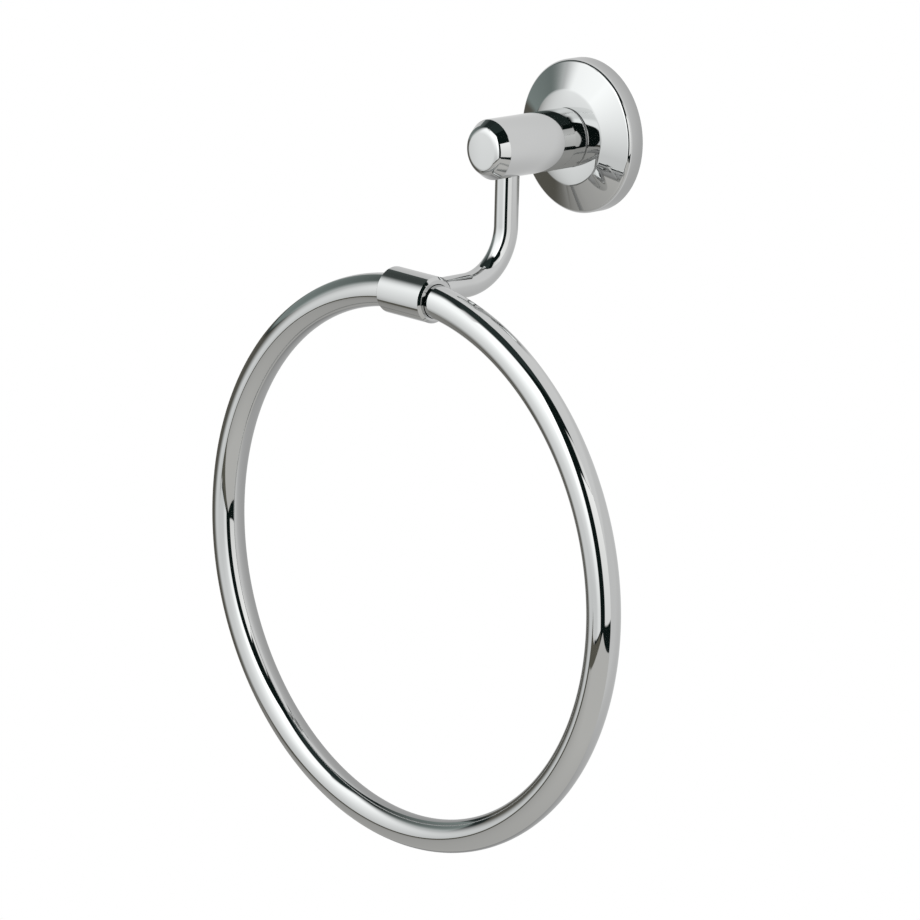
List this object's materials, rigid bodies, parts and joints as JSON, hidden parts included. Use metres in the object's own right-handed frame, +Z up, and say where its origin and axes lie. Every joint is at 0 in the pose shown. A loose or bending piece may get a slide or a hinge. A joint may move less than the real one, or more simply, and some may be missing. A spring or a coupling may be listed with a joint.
{
  "type": "towel ring",
  "caption": "Wall-mounted polished towel ring: a conical rose and bevelled post carry a bent drop arm, whose sleeve holds a round hanging ring.",
  "frame": {"origin": "on the wall, in the middle of the wall plate's back face, on the axis of the post", "axes": "+Y into the wall, -Y out to the front, +Z up, +X to the right as seen from the front"},
  "size_m": [0.193, 0.0846, 0.2568],
  "materials": {
    "rose_chrome": "polished",
    "post_chrome": "polished",
    "arm_chrome": "polished",
    "sleeve_chrome": "polished",
    "ring_chrome": "polished",
    "plate_steel": "zinc plated",
    "spigot_brass": "turned",
    "screw_steel": "plain"
  },
  "bodies": {
    "root": {"rose": "rose_chrome", "post": "post_chrome", "arm": "arm_chrome", "sleeve": "sleeve_chrome", "ring": "ring_chrome", "wall_plate": "plate_steel", "wall_spigot": "spigot_brass", "post_grub_screw": "screw_steel", "arm_grub_screw": "screw_steel", "ring_grub_screws": "screw_steel"}
  },
  "joints": []
}
